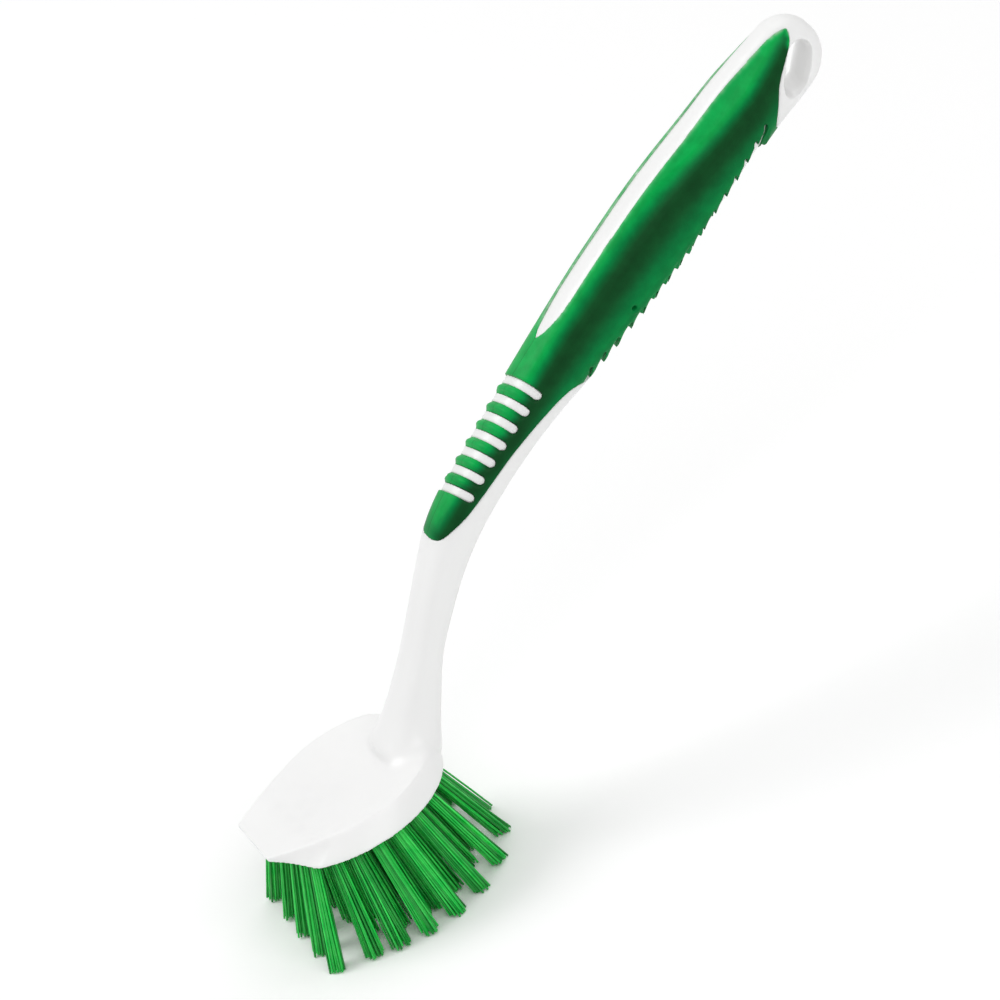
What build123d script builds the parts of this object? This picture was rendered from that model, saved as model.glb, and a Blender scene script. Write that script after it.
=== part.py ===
from build123d import *

import os
from math import acos, asin, cos, degrees, hypot, pi, radians, sin

# A dish brush, in millimetres. The bristle tips stand on Z = 0, and the middle of the tuft field is X = Y = 0.
# The handle rises towards +X, and the scraper edge of the head points to -X. The XZ plane is its plane of symmetry.

# Head: a round block whose front is drawn out into a scraper edge
bristle_length = 28.5
rim_radius = 28.2
rim_leave_angle = 124.3
crest_radius = 24.0
crest_offset = 4.2
crest_height = 5.8
crest_fall = 4.6
scraper_reach = 25.7
scraper_width = 22.4
scraper_edge = 1.1
scraper_bulge = 0.7
ramp_start = 17.6
belly_radius = 26.0
belly_drop = 2.5
dish_radius = 21.2
dish_depth = 1.6
dish_offset = 2.0

# Neck and handle: how far the handle reaches and rises from its foot in the head, and its largest section
neck_setback = 8.2
handle_reach = 167.5
handle_rise = 122.2
grip_width = 22.0
grip_height = 23.0
squareness = 2.5
end_radius = 11.6
end_squareness = 2.15
end_lean = 25.0

# Grip: a soft skin round the handle's core, open over white bars that lie a little lower
skin = 2.4
thumb_bar_sink = 0.5
thumb_bars = 7
thumb_bar_width = 2.4
thumb_bar_tilt = -8.0
thumb_bar_skew = 13.0
under_bars = 16
under_bar_width = 1.0
under_bar_tilt = 50.0
under_bar_neck = 1.3
under_bar_flare = 24.0
under_bar_sink = 1.3
stripe_width = 8.6
gate_radius = 0.7
gate_sink = 1.1

# Hanging hole: a slanted slot through the end of the handle
hole_width = 6.2
hole_length = 14.8
hole_tilt = 54.0
hole_flare = 0.7
hole_flare_depth = 3.5

# Bristles: tufts of filaments, each held by a flat wire anchor in its own drilled hole
strands = 9
strand_width = 0.62
strand_seat = 1.0
root_spread = 1.15
tip_spread = 2.0
raggedness = 1.1
flat_trim = 0.5
tuft_radius = 1.6
tuft_clearance = 0.1
hole_depth = 2.7
anchor_height = 1.1
anchor_width = 2.6
anchor_thickness = 0.4
anchor_clearance = 0.2
front_row_root = 15.2
front_row_root_pitch = 8.0
front_row_tip = 24.0
front_row_tip_pitch = 11.8

# One overrun serves all cuts
overrun = 10.0

# Stations of the handle from its foot to its end: shares of its reach and rise, the lean of its middle line in
# degrees, and shares of the grip's width and height
station_shares = [
    (0.000, 0.036, 66.0, 1.090, 0.780),
    (0.026, 0.077, 62.0, 0.910, 0.660),
    (0.047, 0.117, 57.5, 0.790, 0.570),
    (0.067, 0.156, 55.2, 0.710, 0.500),
    (0.099, 0.223, 54.3, 0.645, 0.430),
    (0.133, 0.287, 53.0, 0.640, 0.443),
    (0.168, 0.349, 50.5, 0.660, 0.478),
    (0.217, 0.425, 43.0, 0.700, 0.552),
    (0.278, 0.491, 34.8, 0.727, 0.578),
    (0.340, 0.545, 31.6, 0.745, 0.600),
    (0.404, 0.596, 29.5, 0.777, 0.657),
    (0.468, 0.642, 27.3, 0.841, 0.743),
    (0.534, 0.687, 26.6, 0.909, 0.839),
    (0.600, 0.732, 26.6, 0.968, 0.926),
    (0.666, 0.777, 26.8, 1.000, 0.978),
    (0.731, 0.823, 27.0, 1.000, 1.000),
    (0.796, 0.868, 27.0, 0.968, 0.983),
    (0.863, 0.914, 26.0, 0.900, 0.943),
    (0.928, 0.958, 24.0, 0.800, 0.925),
    (1.002, 0.998, 19.6, 0.682, 0.900),
]
# The rounded end goes on from the last station at these angles of its formula
end_angles = (22.0, 42.0, 60.0, 74.0, 84.0)

# The grip's lower edge from its front tip to the underside, and its slanted rear edge: shares of the handle's length
# along the middle line, and of the grip's height above that line
grip_front_shares = [
    (0.2625, 0.285),
    (0.2655, 0.235),
    (0.2790, 0.158),
    (0.3000, 0.080),
    (0.3290, 0.024),
    (0.3680, -0.008),
    (0.4090, -0.041),
    (0.4470, -0.085),
    (0.4800, -0.127),
    (0.5010, -0.190),
    (0.5120, -0.275),
    (0.5200, -0.360),
]
grip_rear_shares = [
    (0.8830, -0.360),
    (0.8920, -0.280),
    (0.9080, -0.155),
    (0.9220, -0.036),
    (0.9430, 0.083),
    (0.9560, 0.140),
    (0.9750, 0.225),
    (0.9830, 0.290),
]
# The white stripe along the top: shares of the handle's length, and of half the stripe's width
stripe_shares = [
    (0.5190, 0.00),
    (0.5270, 0.36),
    (0.5400, 0.66),
    (0.5620, 0.92),
    (0.6050, 1.00),
    (0.7800, 1.00),
    (0.9250, 0.93),
    (0.9600, 0.93),
    (0.9850, 0.98),
    (1.0200, 1.40),
]
# The first and last thumb bar, and the places between which the underside bars end: shares of length and height
thumb_bar_shares = ((0.3190, 0.127), (0.4606, 0.127))
under_bar_shares = ((0.5300, -0.205), (0.6000, -0.290), (0.7200, -0.330), (0.8100, -0.255), (0.8775, -0.200))
gate_shares = (0.6170, -0.158)
hole_shares = (0.9530, -0.080)

# Rings of tufts: their angles from +X, the radii of the roots and tips, and how far the ring of tips lies to the rear
outer_angles = (13, 37, 57, 75, 91, 106, 120)
second_angles = (12, 35, 58, 81, 104, 127)
outer_ring = tuple(side * angle for angle in outer_angles for side in (1, -1))
second_ring = tuple(side * angle for angle in second_angles for side in (1, -1))
ring_angles = (outer_ring, second_ring, range(0, 360, 40), range(36, 360, 72), (0,))
root_radii = (22.0, 16.2, 10.4, 5.2, 0.0)
tip_radii = (31.4, 22.2, 13.8, 6.6, 0.0)
tip_offsets = (1.6, 1.4, 1.0, 0.5, 0.0)

rim_z = bristle_length
foot_x = rim_radius - neck_setback
hole_radius = tuft_radius + tuft_clearance
hole_top_z = rim_z + hole_depth
anchor_top_z = hole_top_z - anchor_clearance
plug_top_z = anchor_top_z - anchor_height
across = Vector(0, 1, 0)


def mirrored(point):
    return Vector(point.X, -point.Y, point.Z)


def leaning(angle):
    """A direction in the plane of symmetry, this many degrees above +X."""
    return Vector(cos(radians(angle)), 0, sin(radians(angle)))


# The handle's form

def handle_stations():
    """Place, direction, width and height of each section of the handle, with those of its rounded end."""
    stations = []
    for x, z, lean, wide, high in station_shares:
        place = Vector(foot_x + x * handle_reach, 0, rim_z + z * handle_rise)
        stations.append((place, leaning(lean), wide * grip_width, high * grip_height))
    place, along, wide, high = stations[-1]
    for angle in end_angles:
        scale = cos(radians(angle)) ** (2 / end_squareness)
        reach = end_radius * sin(radians(angle)) ** (2 / end_squareness)
        stations.append((place + leaning(end_lean) * reach, along, wide * scale, high * scale))
    return stations


def section(place, along, wide, high, inset):
    """A closed curve across the handle, a rounded rectangle by one formula, drawn in by the inset."""
    plane = Plane(origin=place, x_dir=across, z_dir=along)
    half_width = max(wide / 2 - inset, wide / 8)
    half_height = max(high / 2 - inset, high / 8)
    count = 16
    points = []
    for k in range(count):
        c = cos(2 * pi * k / count)
        s = sin(2 * pi * k / count)
        x = half_width * abs(c) ** (2 / squareness) * (1 if c > 0 else -1)
        y = half_height * abs(s) ** (2 / squareness) * (1 if s > 0 else -1)
        points.append(plane.from_local_coords(Vector(x, y, 0)))
    return Wire([Edge.make_spline(points, periodic=True)])


def handle_form(inset):
    """The handle's whole outer form, or the same form drawn in all round."""
    return Solid.make_loft([section(*station, inset) for station in handle_stations()])


def middle_line():
    """The handle's middle line up to the tip of its rounded end."""
    stations = handle_stations()[: len(station_shares)]
    tip = stations[-1][0] + leaning(end_lean) * end_radius
    return Edge.make_spline([station[0] for station in stations] + [tip])


spine = middle_line()


def beside(share, above):
    """A point at a share of the handle's length, and a share of the grip's height above its middle line."""
    along = spine.tangent_at(share)
    return spine.position_at(share) + Vector(-along.Z, 0, along.X) * (above * grip_height)


def across_prism(edges, way=across):
    """A solid right through the handle from side to side, on an outline in the plane of symmetry."""
    face = Face(Wire(edges)).moved(Location(way * -grip_width))
    return Solid.extrude(face, way * (2 * grip_width))


# The grip's outline and its openings

def grip_zone():
    """All that lies between the grip's front and rear edges, seen from the side."""
    front = [beside(*place) for place in grip_front_shares]
    rear = [beside(*place) for place in grip_rear_shares]
    corners = [beside(grip_front_shares[0][0], 1), beside(grip_rear_shares[-1][0], 1)]
    corners += [beside(grip_rear_shares[0][0], -1), beside(grip_front_shares[-1][0], -1)]
    return across_prism([
        Edge.make_line(corners[0], front[0]),
        Edge.make_spline(front),
        Edge.make_line(front[-1], corners[3]),
        Edge.make_line(corners[3], corners[2]),
        Edge.make_line(corners[2], rear[0]),
        Edge.make_spline(rear),
        Edge.make_line(rear[-1], corners[1]),
        Edge.make_line(corners[1], corners[0]),
    ])


def stripe_zone():
    """The stripe's leaf-shaped outline, through the upper half of the handle."""
    first = stripe_shares[0][0]
    start = spine.position_at(first)
    along = (spine.position_at(1) - start).normalized()
    edge = []
    for share, half in stripe_shares:
        edge.append(start + along * ((share - first) * spine.length) - across * (half * stripe_width / 2))
    far_edge = [mirrored(point) for point in reversed(edge)]
    face = Face(Wire([
        Edge.make_spline(edge),
        Edge.make_line(edge[-1], far_edge[0]),
        Edge.make_spline(far_edge),
    ]))
    return Solid.extrude(face, Vector(-along.Z, 0, along.X) * grip_height)


def bar_slot(place, lean, side, width, neck, flare):
    """A slot's outline from its rounded inner end outwards along the lean, in the plane of symmetry. Beyond its
    neck, the flank towards the head leans by the flare as well."""
    rear_out = leaning(lean)
    head_out = leaning(lean + side * flare)
    flank = Vector(-rear_out.Z, 0, rear_out.X) * (side * width / 2)
    head_start = place + flank
    rear_start = place - flank
    head_turn = head_start + rear_out * neck
    head_end = head_turn + head_out * grip_height
    rear_end = rear_start + rear_out * grip_height
    return [
        Edge.make_line(head_end, head_turn),
        Edge.make_line(head_turn, head_start),
        Edge.make_three_point_arc(head_start, place - rear_out * (width / 2), rear_start),
        Edge.make_line(rear_start, rear_end),
        Edge.make_line(rear_end, head_end),
    ]


def thumb_slots():
    """The gaps in the grip over the throat of the handle, which run slightly askew."""
    (first, above), (last, _) = thumb_bar_shares
    pitch = (last - first) / (thumb_bars - 1)
    slots = []
    for k in range(thumb_bars):
        share = first + pitch * k
        along = spine.tangent_at(share)
        lean = degrees(asin(along.Z)) + 90 + thumb_bar_tilt
        edges = bar_slot(beside(share, above), lean, 1, thumb_bar_width, grip_height, 0)
        skewed = across * cos(radians(thumb_bar_skew)) - along * sin(radians(thumb_bar_skew))
        slots.append(across_prism(edges, skewed))
    return slots


def under_slots():
    """The hooked gaps in the grip across its underside, which follow the swell of the grip."""
    first = under_bar_shares[0][0]
    pitch = (under_bar_shares[-1][0] - first) / (under_bars - 1)
    slots = []
    for k in range(under_bars):
        share = first + pitch * k
        spans = [pair for pair in zip(under_bar_shares, under_bar_shares[1:]) if share >= pair[0][0]]
        (low_share, low), (high_share, high) = spans[-1]
        above = low + (high - low) * (share - low_share) / (high_share - low_share)
        lean = degrees(asin(spine.tangent_at(share).Z)) - 90 - under_bar_tilt
        edges = bar_slot(beside(share, above), lean, -1, under_bar_width, under_bar_neck, under_bar_flare)
        slots.append(across_prism(edges))
    return slots


def hole_outline(half_width):
    """The long outline of the hanging hole, in the plane of symmetry."""
    out = leaning(hole_tilt)
    flank = Vector(-out.Z, 0, out.X) * half_width
    reach = out * ((hole_length - hole_width) / 2)
    low = beside(*hole_shares) - reach
    high = beside(*hole_shares) + reach
    return [
        Edge.make_line(low + flank, high + flank),
        Edge.make_three_point_arc(high + flank, high + out * half_width, high - flank),
        Edge.make_line(high - flank, low - flank),
        Edge.make_three_point_arc(low - flank, low - out * half_width, low + flank),
    ]


def hanging_hole():
    """The slanted slot through the handle's end, and the wider mouth that it has on each side."""
    cuts = [across_prism(hole_outline(hole_width / 2))]
    end_half = station_shares[-1][3] * grip_width / 2
    for side in (1, -1):
        narrow = Wire(hole_outline(hole_width / 2)).moved(Location(across * (side * (end_half - hole_flare_depth))))
        wide = Wire(hole_outline(hole_width / 2 + hole_flare)).moved(Location(across * (side * end_half)))
        cuts.append(Solid.make_loft([narrow, wide], ruled=True))
    return cuts


def gate_mark():
    """The small dimple that the moulding gate leaves on one side of the grip."""
    plane = Plane(origin=beside(*gate_shares) - across * (grip_width / 2 - gate_sink), z_dir=-across)
    return Solid.make_cylinder(gate_radius, overrun, plane)


# The head

def top_point(x, y):
    """A point of the tilted plane that holds the edge of the head's top."""
    return Vector(x, y, rim_z + crest_height + crest_fall * x / (rim_radius + scraper_reach))


def head_block():
    """The head between its round rim and the egg-shaped edge of its top."""
    leave = radians(rim_leave_angle)
    half = scraper_width / 2
    nose = Vector(-scraper_reach, half, rim_z)
    leave_point = Vector(rim_radius * cos(leave), rim_radius * sin(leave), rim_z)
    halfway = Vector(rim_radius * cos(leave / 2), rim_radius * sin(leave / 2), rim_z)
    back = Vector(rim_radius, 0, rim_z)
    rim = Wire([
        Edge.make_line(mirrored(nose), nose),
        Edge.make_line(nose, leave_point),
        Edge.make_three_point_arc(leave_point, halfway, back),
        Edge.make_three_point_arc(back, mirrored(halfway), mirrored(leave_point)),
        Edge.make_line(mirrored(leave_point), mirrored(nose)),
    ])
    span = hypot(scraper_reach + crest_offset, half)
    turn = pi - asin(half / span) - acos(crest_radius / span)

    def crest(angle):
        return top_point(crest_offset + crest_radius * cos(angle), crest_radius * sin(angle))

    tip = top_point(-scraper_reach, half)
    shoulder = crest(turn)
    flank = top_point((tip.X + shoulder.X) / 2, (tip.Y + shoulder.Y) / 2 + scraper_bulge)
    edge = Wire([
        Edge.make_line(mirrored(tip), tip),
        Edge.make_three_point_arc(tip, flank, shoulder),
        Edge.make_three_point_arc(shoulder, crest(turn / 2), crest(0)),
        Edge.make_three_point_arc(crest(0), mirrored(crest(turn / 2)), mirrored(shoulder)),
        Edge.make_three_point_arc(mirrored(shoulder), mirrored(flank), mirrored(tip)),
    ])
    return Solid.make_loft([rim, edge], ruled=True)


def cap_radius(radius, depth):
    """The radius of the sphere whose cap has this radius and depth."""
    return (radius**2 + depth**2) / (2 * depth)


def belly():
    """The slightly domed underside that the tufts are set in."""
    ball = cap_radius(belly_radius, belly_drop)
    centre = Plane(origin=(0, 0, rim_z - belly_drop + ball))
    return Solid.make_sphere(ball, centre, -90, degrees(asin(belly_radius / ball)) - 90)


def dish():
    """The shallow hollow of the head's top."""
    ball = cap_radius(dish_radius, dish_depth)
    rise = Vector(-crest_fall, 0, rim_radius + scraper_reach).normalized()
    centre = top_point(dish_offset, 0) + rise * (ball - dish_depth)
    return Solid.make_sphere(ball, Plane(origin=centre), -90, 90)


def ramp_point(x):
    """A point of the slanted line under the scraper, seen from the side."""
    edge = top_point(-scraper_reach, 0) - Vector(0, 0, scraper_edge)
    share = (-ramp_start - x) / (scraper_reach - ramp_start)
    return Vector(x, 0, rim_z + (edge.Z - rim_z) * share)


def under_ramp():
    """What is cut away under the scraper."""
    front = ramp_point(-scraper_reach - overrun)
    rear = ramp_point(-ramp_start + overrun)
    down = Vector(0, 0, -bristle_length)
    outline = [front, rear, rear + down, front + down]
    sides = [Edge.make_line(a, b) for a, b in zip(outline, outline[1:] + outline[:1])]
    face = Face(Wire(sides)).moved(Location((0, -rim_radius, 0)))
    return Solid.extrude(face, across * (2 * rim_radius))


# The tufts

def tuft_places():
    """Root and tip of each tuft's middle line: the root on the rim's plane, the tip on Z = 0."""
    places = []
    for angles, root, tip, offset in zip(ring_angles, root_radii, tip_radii, tip_offsets):
        for angle in angles:
            out = Vector(cos(radians(angle)), sin(radians(angle)), 0)
            places.append((out * root + Vector(0, 0, rim_z), out * tip + Vector(offset, 0, 0)))
    for k in range(-2, 3):
        root = Vector(-front_row_root, front_row_root_pitch * k, rim_z)
        places.append((root, Vector(-front_row_tip, front_row_tip_pitch * k, 0)))
    return places


def mouth_z(root):
    """The height of the head's underside at a tuft."""
    dome = rim_z - belly_drop * (1 - (hypot(root.X, root.Y) / belly_radius) ** 2)
    return max(dome, ramp_point(root.X).Z)


def on_line(root, tip, z):
    """The point of a tuft's middle line at this height."""
    return root + (tip - root) * ((rim_z - z) / rim_z)


def leaning_rod(root, tip, outline, low, high):
    """A rod along a tuft's middle line with level ends, on an outline round the origin."""
    start = on_line(root, tip, low)
    face = outline.moved(Location(start))
    return Solid.extrude(face, on_line(root, tip, high) - start)


def strand(top, end, turn):
    """One filament with four sides and level ends."""
    half = strand_width / 2
    corners = []
    for sx, sy in ((1, 1), (-1, 1), (-1, -1), (1, -1)):
        corners.append(Vector(sx * half, sy * half, 0).rotate(Axis.Z, turn))
    sides = [Edge.make_line(a, b) for a, b in zip(corners, corners[1:] + corners[:1])]
    return Solid.extrude(Face(Wire(sides)).moved(Location(end)), top - end)


def tuft(number, root, tip):
    """A tuft's plug in its hole and the filaments that spread from it, cut flat where they stand."""
    mouth = mouth_z(root)
    disc = Face(Wire([Edge.make_circle(tuft_radius)]))
    plug = leaning_rod(root, tip, disc, mouth, plug_top_z)
    filaments = []
    for k in range(strands):
        turn = 360 * k / (strands - 1)
        out = Vector(cos(radians(turn)), sin(radians(turn)), 0) * (0 if k == strands - 1 else 1)
        uneven = ((number * strands - k) * 0.618) % 1
        end_z = max(0, raggedness * uneven - flat_trim)
        top = on_line(root, tip, mouth + strand_seat) + out * root_spread
        floor = tip + out * tip_spread
        end = floor + (top - floor) * (end_z / top.Z)
        filaments.append(strand(top, end, turn))
    return plug.fuse(*filaments)


def tuft_hole(root, tip):
    disc = Face(Wire([Edge.make_circle(hole_radius)]))
    return leaning_rod(root, tip, disc, rim_z - belly_drop - overrun, hole_top_z)


def anchor(root, tip):
    """The flat wire that holds a tuft, above its plug."""
    plate = Face.make_rect(anchor_thickness, anchor_width)
    return leaning_rod(root, tip, plate, plug_top_z, anchor_top_z)


# The pieces

def build():
    places = tuft_places()
    outer = handle_form(0)
    core = handle_form(skin)
    zone = grip_zone().cut(stripe_zone(), core)
    over = thumb_slots()
    under = under_slots()
    bars = []
    for sink, slots in ((thumb_bar_sink, over), (under_bar_sink, under)):
        lowered = handle_form(sink)
        for slot in slots:
            bars += lowered.intersect(slot).solids()
    grip = max(outer.intersect(zone.cut(*over, *under)).solids(), key=lambda solid: solid.volume)
    grip = grip.cut(gate_mark())

    head = head_block().fuse(belly()).cut(under_ramp(), dish())
    handle = outer.cut(zone.cut(*bars), *hanging_hole())
    body = head.fuse(handle)
    body = body.cut(*[tuft_hole(root, tip) for root, tip in places])

    pieces = {"body": body, "grip": grip, "anchors": Compound([anchor(root, tip) for root, tip in places])}
    for number, (root, tip) in enumerate(places, 1):
        pieces[f"tuft_{number:02d}"] = tuft(number, root, tip)
    return pieces


os.makedirs("parts", exist_ok=True)
for name, piece in build().items():
    export_step(piece, f"parts/{name}.step")
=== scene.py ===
from math import cos, hypot, pi, radians, sin, sqrt

import bmesh
import bpy
import numpy as np
from mathutils import Matrix, Vector
from mathutils.kdtree import KDTree


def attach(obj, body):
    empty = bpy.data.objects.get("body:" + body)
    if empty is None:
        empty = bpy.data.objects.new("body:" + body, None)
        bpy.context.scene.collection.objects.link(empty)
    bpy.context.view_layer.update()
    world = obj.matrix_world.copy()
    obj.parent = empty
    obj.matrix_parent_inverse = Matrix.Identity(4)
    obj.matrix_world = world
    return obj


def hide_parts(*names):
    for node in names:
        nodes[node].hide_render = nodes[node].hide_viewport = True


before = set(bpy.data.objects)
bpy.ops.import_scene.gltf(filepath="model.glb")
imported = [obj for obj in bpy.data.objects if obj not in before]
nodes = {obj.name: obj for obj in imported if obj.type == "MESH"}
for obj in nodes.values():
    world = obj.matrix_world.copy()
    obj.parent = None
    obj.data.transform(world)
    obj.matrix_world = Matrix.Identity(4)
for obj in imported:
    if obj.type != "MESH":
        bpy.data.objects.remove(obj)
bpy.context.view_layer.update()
mm = 0.001

# The picture: its scale, its size, and where the middle of the head stands in it, in pixels
pixels_per_mm = 3.9
picture_size = 1000
head_in_picture = (342.6, 802.1)

# Sockets of a mix of colours
first_colour, second_colour, mixed_colour = 6, 7, 2

# The handle from its foot in the head to its end, in millimetres: X and Z of its middle line, then its half width
# and half height
handle_stations = [
    (20.0, 32.9, 12.0, 9.0), (24.4, 37.9, 10.0, 7.6), (27.9, 42.8, 8.7, 6.6), (31.2, 47.6, 7.8, 5.8),
    (36.6, 55.8, 7.1, 4.9), (42.3, 63.6, 7.0, 5.1), (48.1, 71.1, 7.3, 5.5), (56.3, 80.4, 7.7, 6.3),
    (66.6, 88.5, 8.0, 6.6), (77.0, 95.1, 8.2, 6.9), (87.7, 101.3, 8.5, 7.6), (98.4, 107.0, 9.3, 8.5),
    (109.4, 112.5, 10.0, 9.6), (120.5, 118.0, 10.6, 10.6), (131.6, 123.5, 11.0, 11.2),
    (142.4, 129.1, 11.0, 11.5), (153.3, 134.6, 10.6, 11.3), (164.6, 140.2, 9.9, 10.8),
    (175.4, 145.6, 8.8, 10.6), (187.8, 150.5, 7.5, 10.4), (198.3, 155.4, 7.0, 10.0),
]
squareness = 2.5

# Thumb bars, in millimetres along the middle line: the first of seven, their pitch, lean and skew, the height of
# their feet, and how far the ribs between them are rounded
first_bar = 70.5
bar_pitch = 5.213
bar_lean = 0.14
bar_skew = 0.231
bar_foot = 2.9
rib_rounding = 0.6

# Underside teeth: where the lines of the first and last slot cross the middle line, in millimetres along the
# handle, their numbers, their slant and how deep each tooth is undercut
tooth_lines = (124.24, 201.01)
tooth_numbers = (0, 15)
tooth_slant = 1.19
tooth_depth = 1.3

# How far the white stripe lies below the skin, and where the gate mark lies, along the handle and above its middle
stripe_sink = 0.45
gate_place = (136.3, -3.6)

# Fineness of the two mouldings' meshes in millimetres, and rounds of smoothing for their edges and the neck's foot
white_fineness = 0.3
green_fineness = 0.25
edge_rounds = 3
foot_rounds = 1100

# The painted shade on the green skin is deepest at these lengths and shares of the half height, in a dark band
# where its side turns from the light
darkest_shade_places = (
    (60, 0.65), (75, 0.45), (92, 0.25), (107, 0.38), (122, 0.46),
    (150, 0.48), (165, 0.40), (185, 0.20), (197, 0.08), (212, 0.32),
)

# The painted light and shade of the green skin, from deepest painted shade at 0 to palest painted highlight at 1,
# by how far it lies above its darkest band
painted_shade_tones = (
    (-1.5, 0.55), (-1.1, 0.50), (-0.95, 0.42), (-0.83, 0.46), (-0.70, 0.42), (-0.57, 0.34),
    (-0.45, 0.25), (-0.33, 0.14), (-0.20, 0.05), (0.0, 0.0), (0.14, 0.04), (0.24, 0.22),
    (0.32, 0.42), (0.40, 0.60), (0.50, 0.70), (1.0, 0.74),
)
# Painted light along the under edge beside the bare white, and painted highlight beside the stripe
painted_light_under_edge = 0.62
painted_highlight_by_stripe = 0.97

# The greens of those painted shade and highlight tones, from the deepest painted shade to the palest painted
# highlight
painted_light_greens = (
    (0.10, (0.004, 0.090, 0.021)),
    (0.25, (0.002, 0.138, 0.033)),
    (0.40, (0.0, 0.198, 0.046)),
    (0.55, (0.0, 0.296, 0.062)),
    (0.68, (0.0, 0.400, 0.072)),
    (0.76, (0.015, 0.455, 0.105)),
    (0.84, (0.07, 0.500, 0.165)),
    (0.92, (0.25, 0.580, 0.300)),
)
deepest_shaded_green = (0.004, 0.062, 0.014, 1)
palest_highlight_green = (0.75, 0.84, 0.76, 1)

# The bristles, in millimetres: filaments to a tuft, their radius, the tuft's radius where it leaves the head and at
# its cut end, and the circle beyond which a tuft belongs to the outer ring
filaments = 34
filament_radius = 0.27
root_radius = 1.35
tip_radius = 2.45
inner_tip_radius = 2.9
outer_ring = 26
bend_steps = 4
sides = 6
golden_turn = 2.39996

# How ragged a tuft is, in millimetres: its clumps, how far clumps and single filaments stray at the cut end, how
# uneven their lengths are, and how far a filament bows
clumps = 4
clump_drift = 0.7
filament_stray = 0.5
uneven_filaments = 1.1
uneven_clumps = 0.5
filament_bow = 0.5
lowest_tip = 0.03
lowest_point = 0.02

# How bright the white sheet looks, against the light that falls on it
sheet_gain = 1.06


# The camera and the light

def photo_camera():
    """A long lens from the front, a little above, and rolled so that the handle rises to the upper right."""
    elevation, azimuth, roll = radians(30.0), radians(-7.85), radians(27.0)
    pixel = mm / pixels_per_mm
    half = picture_size / 2
    back = Vector((sin(azimuth) * cos(elevation), -cos(azimuth) * cos(elevation), sin(elevation)))
    level = Vector((cos(azimuth), sin(azimuth), 0))
    raised = back.cross(level)
    right = level * cos(roll) - raised * sin(roll)
    top = level * sin(roll) + raised * cos(roll)
    head = Vector((0, 0, 28.5 * mm))
    centre = head + right * ((half - head_in_picture[0]) * pixel) + top * ((head_in_picture[1] - half) * pixel)
    centre += back * (15 * mm)
    lens = bpy.data.cameras.new("long_lens")
    lens.lens = 800
    lens.sensor_width = 36
    lens.clip_start = 0.1
    lens.clip_end = 30
    camera = bpy.data.objects.new("photo_camera", lens)
    bpy.context.scene.collection.objects.link(camera)
    camera.rotation_mode = "QUATERNION"
    camera.location = centre + back * (picture_size * pixel * lens.lens / lens.sensor_width)
    axes = [[right[k], top[k], back[k]] for k in range(3)]
    camera.rotation_quaternion = Matrix(axes).to_quaternion()
    bpy.context.scene.camera = camera


def soft_box(name, towards, distance, size, level):
    """A square studio light. Its level is what it adds to a white surface that faces it."""
    light = bpy.data.lights.new(name, "AREA")
    light.size = size
    light.energy = pi * pi * distance * distance * level
    lamp = bpy.data.objects.new(name, light)
    bpy.context.scene.collection.objects.link(lamp)
    way = Vector(towards).normalized()
    lamp.location = Vector((0.09, 0, 0.07)) + way * distance
    lamp.rotation_mode = "QUATERNION"
    lamp.rotation_quaternion = way.to_track_quat("Z", "Y")


def studio_world(level):
    """An even white room: this level for the light, and plain white where it is seen or mirrored."""
    world = bpy.data.worlds.new("white_room")
    bpy.context.scene.world = world
    world.use_nodes = True
    tree = world.node_tree
    background = tree.nodes["Background"]
    background.inputs["Color"].default_value = (1, 1, 1, 1)
    strength = tree.nodes.new("ShaderNodeMapRange")
    strength.inputs["To Min"].default_value = level
    strength.inputs["To Max"].default_value = 1.0
    tree.links.new(seen_directly(tree), strength.inputs["Value"])
    tree.links.new(strength.outputs["Result"], background.inputs["Strength"])


def seen_directly(tree):
    """1 where the camera, a mirror or clear plastic shows the backdrop, and 0 where it only lights the brush."""
    path = tree.nodes.new("ShaderNodeLightPath")
    seen = path.outputs["Is Camera Ray"]
    for ray in ("Is Glossy Ray", "Is Transmission Ray"):
        either = tree.nodes.new("ShaderNodeMath")
        either.operation = "MAXIMUM"
        tree.links.new(seen, either.inputs[0])
        tree.links.new(path.outputs[ray], either.inputs[1])
        seen = either.outputs[0]
    return seen


# Materials

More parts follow.
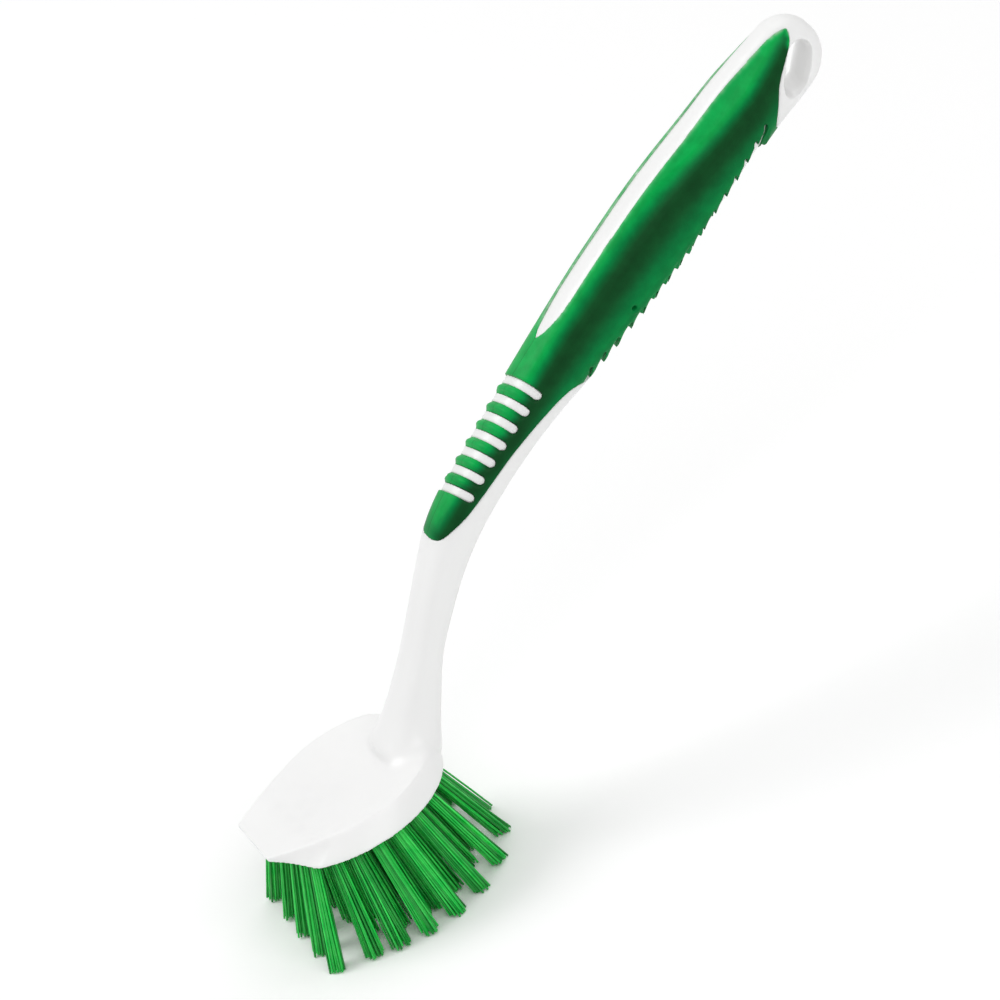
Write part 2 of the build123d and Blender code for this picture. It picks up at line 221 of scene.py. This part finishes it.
def moulded_grain():
    """Mottle of two colours and fine skin of a moulded or drawn plastic."""
    group = bpy.data.node_groups.new("moulded_grain", "ShaderNodeTree")
    face = group.interface
    for name, kind, value in (
        ("Colour", "NodeSocketColor", (0.8, 0.8, 0.8, 1)),
        ("Mottle colour", "NodeSocketColor", (0.7, 0.7, 0.7, 1)),
        ("Mottle size", "NodeSocketFloat", 60.0),
        ("Grain size", "NodeSocketFloat", 900.0),
        ("Grain depth", "NodeSocketFloat", 0.1),
    ):
        face.new_socket(name, in_out="INPUT", socket_type=kind).default_value = value
    face.new_socket("Colour", in_out="OUTPUT", socket_type="NodeSocketColor")
    face.new_socket("Normal", in_out="OUTPUT", socket_type="NodeSocketVector")
    given = group.nodes.new("NodeGroupInput")
    made = group.nodes.new("NodeGroupOutput")
    place = group.nodes.new("ShaderNodeTexCoord")
    mottle = group.nodes.new("ShaderNodeTexNoise")
    mottle.inputs["Detail"].default_value = 4
    grain = group.nodes.new("ShaderNodeTexNoise")
    grain.inputs["Detail"].default_value = 2
    spread = group.nodes.new("ShaderNodeMapRange")
    spread.inputs["From Min"].default_value = 0.35
    spread.inputs["From Max"].default_value = 0.65
    blend = group.nodes.new("ShaderNodeMix")
    blend.data_type = "RGBA"
    bump = group.nodes.new("ShaderNodeBump")
    bump.inputs["Distance"].default_value = 0.0001
    link = group.links.new
    link(place.outputs["Object"], mottle.inputs["Vector"])
    link(place.outputs["Object"], grain.inputs["Vector"])
    link(given.outputs["Mottle size"], mottle.inputs["Scale"])
    link(given.outputs["Grain size"], grain.inputs["Scale"])
    link(mottle.outputs["Fac"], spread.inputs["Value"])
    link(spread.outputs["Result"], blend.inputs["Factor"])
    link(given.outputs["Colour"], blend.inputs[first_colour])
    link(given.outputs["Mottle colour"], blend.inputs[second_colour])
    link(grain.outputs["Fac"], bump.inputs["Height"])
    link(given.outputs["Grain depth"], bump.inputs["Strength"])
    link(blend.outputs[mixed_colour], made.inputs["Colour"])
    link(bump.outputs["Normal"], made.inputs["Normal"])
    return group


grain_group = moulded_grain()


def plastic(name, colour, mottle_colour, mottle_size, grain_size, grain_depth, **sockets):
    """A moulded finish on the shared grain. The sockets are set on the shader itself."""
    material = bpy.data.materials.new(name)
    material.use_nodes = True
    tree = material.node_tree
    shader = tree.nodes["Principled BSDF"]
    grain = tree.nodes.new("ShaderNodeGroup")
    grain.node_tree = grain_group
    grain.inputs["Colour"].default_value = (*colour, 1)
    grain.inputs["Mottle colour"].default_value = (*mottle_colour, 1)
    grain.inputs["Mottle size"].default_value = mottle_size
    grain.inputs["Grain size"].default_value = grain_size
    grain.inputs["Grain depth"].default_value = grain_depth
    tree.links.new(grain.outputs["Colour"], shader.inputs["Base Color"])
    tree.links.new(grain.outputs["Normal"], shader.inputs["Normal"])
    for socket, value in sockets.items():
        shader.inputs[socket.replace("_", " ")].default_value = value
    return material


def multiplied(tree, first, second):
    """The product of two colours in a material."""
    product = tree.nodes.new("ShaderNodeMix")
    product.data_type = "RGBA"
    product.blend_type = "MULTIPLY"
    product.inputs["Factor"].default_value = 1.0
    tree.links.new(first, product.inputs[first_colour])
    tree.links.new(second, product.inputs[second_colour])
    return product.outputs[mixed_colour]


def mottled_colour(tree):
    """The colour that a plastic gets from its grain."""
    return next(node for node in tree.nodes if node.type == "GROUP").outputs["Colour"]


def bristle_green():
    """Drawn filaments, each a slightly different green."""
    material = plastic("bristle_green", (0.01, 0.62, 0.075), (0.05, 0.72, 0.11), 300, 2500, 0.05,
                       Roughness=0.3, Specular_IOR_Level=0.3)
    tree = material.node_tree
    tone = tree.nodes.new("ShaderNodeAttribute")
    tone.attribute_name = "tone"
    shaded = multiplied(tree, mottled_colour(tree), tone.outputs["Color"])
    tree.links.new(shaded, tree.nodes["Principled BSDF"].inputs["Base Color"])
    return material


def elastomer_green():
    """Soft green skin with painted light and shade: deep green in a painted shaded band along its side, brighter
    and paler painted highlights over its shoulders, its under edge and beside the stripe, with a fine parting line.
    """
    material = plastic("green_elastomer", (1, 1, 1), (0.80, 0.80, 0.80), 260, 1600, 0.35,
                       Roughness=0.35, Specular_IOR_Level=0.07)
    tree = material.node_tree
    # The painted light and shade of each point, from deep painted shade to pale painted highlight, turned into
    # green by the ramp
    painted_tone = tree.nodes.new("ShaderNodeAttribute")
    painted_tone.attribute_name = "painted_tone"
    skin = tree.nodes.new("ShaderNodeValToRGB")
    stops = skin.color_ramp.elements
    stops[0].position = 0.0
    stops[0].color = deepest_shaded_green
    stops[1].position = 1.0
    stops[1].color = palest_highlight_green
    for place, colour in painted_light_greens:
        stops.new(place).color = (*colour, 1)
    place = tree.nodes.new("ShaderNodeTexCoord")
    split = tree.nodes.new("ShaderNodeSeparateXYZ")
    off = tree.nodes.new("ShaderNodeMath")
    off.operation = "ABSOLUTE"
    line = tree.nodes.new("ShaderNodeMapRange")
    line.inputs["From Min"].default_value = 0.00005
    line.inputs["From Max"].default_value = 0.00014
    line.inputs["To Min"].default_value = 0.45
    link = tree.links.new
    link(painted_tone.outputs["Fac"], skin.inputs["Fac"])
    link(place.outputs["Object"], split.inputs["Vector"])
    link(split.outputs["Y"], off.inputs[0])
    link(off.outputs[0], line.inputs["Value"])
    mottled = multiplied(tree, skin.outputs["Color"], mottled_colour(tree))
    parted = multiplied(tree, mottled, line.outputs["Result"])
    link(parted, tree.nodes["Principled BSDF"].inputs["Base Color"])
    return material


def floor_white():
    """A white sheet. Seen directly it is brighter than it lights, so it is white but for the brush's shadow."""
    material = bpy.data.materials.new("white_sheet")
    material.use_nodes = True
    tree = material.node_tree
    tree.nodes.remove(tree.nodes["Principled BSDF"])
    diffuse = tree.nodes.new("ShaderNodeBsdfDiffuse")
    colour = tree.nodes.new("ShaderNodeMix")
    colour.data_type = "RGBA"
    colour.inputs[first_colour].default_value = (0.9, 0.9, 0.9, 1)
    colour.inputs[second_colour].default_value = (sheet_gain, sheet_gain, sheet_gain, 1)
    tree.links.new(seen_directly(tree), colour.inputs["Factor"])
    tree.links.new(colour.outputs[mixed_colour], diffuse.inputs["Color"])
    tree.links.new(diffuse.outputs[0], tree.nodes["Material Output"].inputs["Surface"])
    return material


# The mouldings

def points_of(mesh):
    """A mesh's points as rows of X, Y and Z."""
    flat = np.zeros(len(mesh.vertices) * 3, np.float32)
    mesh.vertices.foreach_get("co", flat)
    return flat.reshape(-1, 3).astype(float)


def put_points(mesh, points):
    """The same rows, put back into the mesh."""
    mesh.vertices.foreach_set("co", points.astype(np.float32).ravel())
    mesh.update()


def ease(values, low, high):
    """0 below low, 1 above high, with a soft step between."""
    share = np.clip((values - low) / (high - low), 0, 1)
    return share * share * (3 - 2 * share)


def apply_modifiers(piece):
    """The piece's mesh takes the form that its modifiers give it."""
    shown = piece.evaluated_get(bpy.context.evaluated_depsgraph_get())
    mesh = bpy.data.meshes.new_from_object(shown)
    piece.modifiers.clear()
    piece.data = mesh


def moulding(name, node, fineness):
    """A moulding's form taken over from its solid as one even skin, with its edges eased."""
    solid = bmesh.new()
    solid.from_mesh(nodes[node].data)
    bmesh.ops.remove_doubles(solid, verts=solid.verts, dist=1e-7)
    mesh = bpy.data.meshes.new(name)
    solid.to_mesh(mesh)
    solid.free()
    piece = bpy.data.objects.new(name, mesh)
    bpy.context.scene.collection.objects.link(piece)
    skin = piece.modifiers.new("skin", "REMESH")
    skin.mode = "VOXEL"
    skin.voxel_size = fineness * mm
    easing = piece.modifiers.new("easing", "SMOOTH")
    easing.factor = 0.5
    easing.iterations = edge_rounds
    apply_modifiers(piece)
    return piece


def eased_where(piece, share, rounds):
    """More smoothing where the share, one value for each vertex, is above 0."""
    group = piece.vertex_groups.new(name="eased")
    for index in np.nonzero(share > 0.01)[0]:
        group.add([int(index)], float(share[index]), "REPLACE")
    easing = piece.modifiers.new("more", "SMOOTH")
    easing.factor = 0.5
    easing.iterations = rounds
    easing.vertex_group = "eased"
    apply_modifiers(piece)
    piece.vertex_groups.clear()


def finished_piece(piece, material, slot, *replaced):
    """A piece's finish and body, and the solids that it stands for; the slot is not used."""
    piece.data.shade_smooth()
    piece.data.materials.clear()
    piece.data.materials.append(material)
    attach(piece, "root")
    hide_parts(*replaced)


def on_handle(points):
    """For each point: its length along the handle's middle line, its height above it, that height as a share of
    the section's half height, how far out it is as a share of the section, and the direction up."""
    stations = np.array(handle_stations)
    line = stations[:, :2]
    steps = np.diff(line, axis=0)
    reaches = np.hypot(*steps.T)
    starts = np.r_[0, np.cumsum(reaches)]
    nearest = np.full(len(points), 1e9)
    length = np.zeros(len(points))
    height = np.zeros(len(points))
    up = np.zeros((len(points), 3))
    for corner, step, reach, start in zip(line, steps, reaches, starts):
        way = step / reach
        off = points[:, [0, 2]] - corner
        share = np.clip(off @ way, 0, reach)
        gap = np.hypot(*(off - share[:, None] * way).T)
        closer = gap < nearest
        nearest = np.where(closer, gap, nearest)
        length = np.where(closer, start + share, length)
        height = np.where(closer, off @ np.array([-way[1], way[0]]), height)
        up[closer] = (-way[1], 0, way[0])
    wide = np.interp(length, starts, stations[:, 2])
    high = np.interp(length, starts, stations[:, 3])
    out = (abs(points[:, 1] / wide) ** squareness + abs(height / high) ** squareness) ** (1 / squareness)
    return length, height, height / high, out, up


def bar_offset(points, length, height):
    """Where each point lies against the thumb bars: the bar's number, and the distance from its middle line."""
    place = length - bar_lean * (height - bar_foot) + bar_skew * points[:, 1]
    number = (place - first_bar) / bar_pitch
    return number, (number - np.round(number)) * bar_pitch


def white_moulding(material):
    """The head, neck and core, with the neck's foot flowing into the head's hollow and the stripe a little sunk."""
    piece = moulding("white_moulding", "body", white_fineness)
    x, y, z = (points_of(piece.data) / mm).T
    reach = np.hypot((x - 18) / 14, y / 15)
    foot = (1 - ease(reach, 0.75, 1.3)) * ease(z, 31, 33.5) * (1 - ease(z, 42, 52))
    rear = ease(x - 0.86 * (z - 33), 20, 26)
    eased_where(piece, foot * (1 - rear), foot_rounds)
    points = points_of(piece.data) / mm
    length, height, rise, out, up = on_handle(points)
    stripe = ease(rise, 0.8, 0.9) * (1 - ease(abs(points[:, 1]), 4.6, 5.2))
    stripe *= ease(length, 113, 122) * (1 - ease(length, 196, 212))
    points -= up * (stripe * stripe_sink)[:, None]
    put_points(piece.data, points * mm)
    finished_piece(piece, material, "white_body", "body")
    return piece


def green_overmould(material):
    """The soft grip, with rounded thumb ribs, undercut teeth along its underside and its gate mark."""
    piece = moulding("green_overmould", "grip", green_fineness)
    points = points_of(piece.data) / mm
    length, height, rise, out, up = on_handle(points)
    number, off = bar_offset(points, length, height)
    rib = bar_pitch / 2 - abs(off)
    ribbed = (number > 0) & (number < 6)
    outer = ease(out, 0.72, 0.82) * ease(height, bar_foot - 0.8, bar_foot + 0.4)
    outwards = up * height[:, None]
    outwards[:, 1] += points[:, 1]
    outwards /= np.maximum(np.linalg.norm(outwards, axis=1), 0.1)[:, None]
    points -= outwards * (outer * ribbed * rib_rounding * ease(rib, 0.15, 1.35))[:, None]
    line = length - tooth_slant * height
    phase = np.interp(line, tooth_lines, tooth_numbers) % 1
    under = ease(-rise, 0.5, 0.8) * (line > tooth_lines[0]) * (line < tooth_lines[-1])
    points += up * (under * ease(phase, 0.1, 1.0) * tooth_depth)[:, None]
    off = np.hypot(length - gate_place[0], height - gate_place[1])
    near_side = points[:, 1] < -5
    dimple = (1 - ease(off, 0.35, 0.85)) * 0.9
    raised_ring = np.exp(-(((off - 1.5) / 0.4) ** 2)) * 0.12
    points[:, 1] += near_side * (dimple - raised_ring)
    put_points(piece.data, points * mm)
    finished_piece(piece, material, "green_grip", "grip")
    return piece


def painted_light_and_shade(grip, core):
    """Painted light and shade for each point of the green skin: a painted shaded band along its side, painted
    highlights over its shoulders, along its under edge and beside the bare stripe.
    """
    points = points_of(grip.data) / mm
    length, height, rise, *_ = on_handle(points)
    skin = lookup(points[::5])
    bare = points_of(core.data)[::4] / mm
    core_length, core_height, *_ = on_handle(bare)
    below = bare[(core_height < 0.5) & (core_length > 50) & (core_length < 125)]
    beside = bare[(core_height > 3) & (core_length > 108)]
    gaps = []
    for group in (below, beside):
        shown = lookup([point for point in group if skin.find(point)[2] > 0.8])
        gaps.append(np.array([shown.find(point)[2] for point in points]))
    # Painted shade deepest in a band along the side, painted highlight above it over the shoulder
    level = rise - np.interp(length, *zip(*darkest_shade_places))
    tone = np.interp(level, *zip(*painted_shade_tones))
    # Painted light along the under edge, where the bare white shows below
    tone = np.maximum(tone, painted_light_under_edge * (1 - ease(gaps[0], 0.3, 1.4)))
    # Painted highlight beside the bare white stripe
    tone += (painted_highlight_by_stripe - tone) * (1 - ease(gaps[1], 0.4, 2.6)) * ease(length, 112, 122)
    layer = grip.data.attributes.new("painted_tone", "FLOAT", "POINT")
    layer.data.foreach_set("value", tone.astype(np.float32))


def lookup(points):
    """A tree that finds the nearest of these points."""
    tree = KDTree(len(points))
    for index, point in enumerate(points):
        tree.insert(point, index)
    tree.balance()
    return tree


# The bristles

def chance(*key):
    """A repeatable number from 0 to 1."""
    value = sin(sum(k * f for k, f in zip(key, (12.9898, 78.233, 37.719, 94.673)))) * 43758.5453
    return value - int(value // 1)


def tuft_line(node):
    """Top of a tuft's plug, and the middle of its cut end, in millimetres."""
    points = points_of(nodes[node].data) / mm
    top = points[points[:, 2] > points[:, 2].max() - 0.01].mean(0)
    low = points[points[:, 2] < 1.2]
    tip = (low.min(0) + low.max(0)) / 2
    return Vector(top), Vector((tip[0], tip[1], 0))


def bristle_tuft(number, node, material):
    """One tuft: a round bundle of nearly straight filaments that opens towards its ragged cut end."""
    top, tip = tuft_line(node)
    way = (tip - top).normalized()
    side = way.cross(Vector((0, 1, 0))).normalized()
    over = way.cross(side)
    opening = tip_radius if hypot(tip.x, tip.y) > outer_ring else inner_tip_radius
    tuft = bmesh.new()
    tone = tuft.verts.layers.float_color.new("tone")
    for k in range(filaments):
        turn = k * golden_turn + number
        reach = sqrt((k + 0.5) / filaments)
        spot = side * (cos(turn) * reach) + over * (sin(turn) * reach)
        clump = int(turn / (2 * pi) * clumps) % clumps
        drift = Vector((chance(number, clump, 1) - 0.5, chance(number, clump, 2) - 0.5, 0)) * clump_drift
        stray = Vector((chance(number, k, 3) - 0.5, chance(number, k, 4) - 0.5, 0)) * filament_stray
        start = top + spot * root_radius
        end = tip + spot * opening + drift + stray
        end.z = lowest_tip + uneven_filaments * chance(number, k, 5) ** 2
        end.z += uneven_clumps * chance(number, clump, 6)
        bow = (chance(number, k, 7) - 0.5) * filament_bow
        along = (end - start).normalized()
        across = along.cross(Vector((0, 1, 0))).normalized()
        beside = along.cross(across)
        light = 0.32 + 0.95 * chance(number, k, 8)
        slant = (chance(number, k, 9) - 0.5) * 0.6
        rings = []
        for step in range(bend_steps + 1):
            share = step / bend_steps
            middle = start.lerp(end, share) + across * (bow * 4 * share * (1 - share))
            ring = []
            for m in range(sides):
                angle = 2 * pi * m / sides
                arm = across * cos(angle) + beside * sin(angle)
                point = middle + arm * filament_radius
                if step == bend_steps:
                    point -= along * (arm.dot(across) * filament_radius * slant)
                    point += along * (max(lowest_point - point.z, 0) / along.z)
                vertex = tuft.verts.new(point * mm)
                vertex[tone] = (light, light, light, 1)
                ring.append(vertex)
            rings.append(ring)
        for low, high in zip(rings, rings[1:]):
            for m in range(sides):
                tuft.faces.new((low[m - 1], low[m], high[m], high[m - 1]))
        tuft.faces.new(rings[-1])
        tuft.faces.new(list(reversed(rings[0])))
    mesh = bpy.data.meshes.new(f"tuft_mesh_{number:02d}")
    tuft.to_mesh(mesh)
    tuft.free()
    piece = bpy.data.objects.new(f"bristles_{number:02d}", mesh)
    bpy.context.scene.collection.objects.link(piece)
    finished_piece(piece, material, "bristle", node)


def white_floor():
    """A plain sheet under the brush."""
    mesh = bpy.data.meshes.new("floor")
    reach = 6.0
    corners = [(-reach, -reach, 0), (reach, -reach, 0), (reach, reach, 0), (-reach, reach, 0)]
    mesh.from_pydata(corners, [], [(0, 1, 2, 3)])
    mesh.materials.append(floor_white())
    floor = bpy.data.objects.new("floor", mesh)
    bpy.context.scene.collection.objects.link(floor)


# The whole scene

bpy.context.scene.view_settings.view_transform = "Standard"
photo_camera()
studio_world(0.56)
soft_box("key_light", (-0.55, 0.45, 0.75), 1.2, 0.6, 0.30)
soft_box("rear_light", (0.45, 0.40, 0.80), 1.2, 0.9, 0.10)
soft_box("front_light", (0.10, -0.75, 0.60), 1.2, 0.9, 0.32)
white_floor()

white = plastic("white_plastic", (0.91, 0.91, 0.905), (0.895, 0.895, 0.89), 40, 700, 0.05, Roughness=0.3,
                Subsurface_Weight=0.35, Subsurface_Radius=(1, 1, 1), Subsurface_Scale=0.003)
green = elastomer_green()
steel = plastic("anchor_steel", (0.6, 0.6, 0.6), (0.5, 0.5, 0.5), 400, 2000, 0.2,
                Metallic=1.0, Roughness=0.35)

core = white_moulding(white)
grip = green_overmould(green)
painted_light_and_shade(grip, core)
anchors = nodes["anchors"]
anchors.data.materials.clear()
anchors.data.materials.append(steel)
bristle = bristle_green()
for number, node in enumerate(sorted(name for name in nodes if name.startswith("tuft_")), 1):
    bristle_tuft(number, node, bristle)
